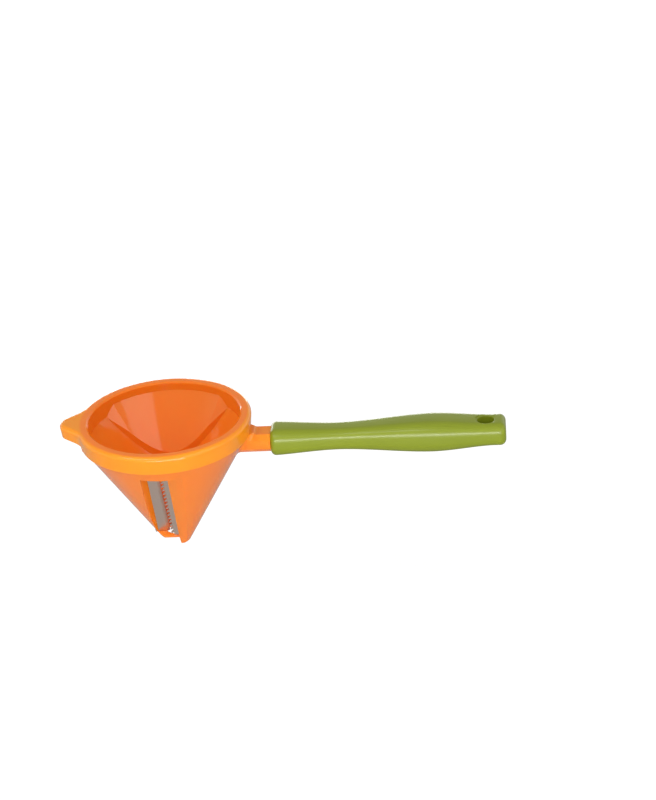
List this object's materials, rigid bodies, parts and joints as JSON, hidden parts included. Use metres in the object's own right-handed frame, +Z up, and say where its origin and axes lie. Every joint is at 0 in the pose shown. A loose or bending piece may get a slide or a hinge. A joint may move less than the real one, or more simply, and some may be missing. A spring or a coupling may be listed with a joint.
{
  "type": "hand-held cone slicer",
  "caption": "Cone-shaped spiral and julienne slicer: a funnel with blades moulded into its wall, a resting lip and a soft side handle.",
  "frame": {"origin": "centre of the mouth, in the plane of the rim's top face", "axes": "+Z up out of the mouth, +X from the mouth along the handle, the blade window faces -Y"},
  "size_m": [0.1897, 0.0746, 0.061],
  "materials": {
    "orange_plastic": "glossy moulded",
    "green_grip": "soft satin overmould",
    "stainless": "ground"
  },
  "bodies": {
    "root": {"funnel_body": "orange_plastic", "handle_core": "orange_plastic", "handle_grip": "green_grip", "slicing_blade": "stainless", "julienne_comb": "stainless"}
  },
  "joints": []
}
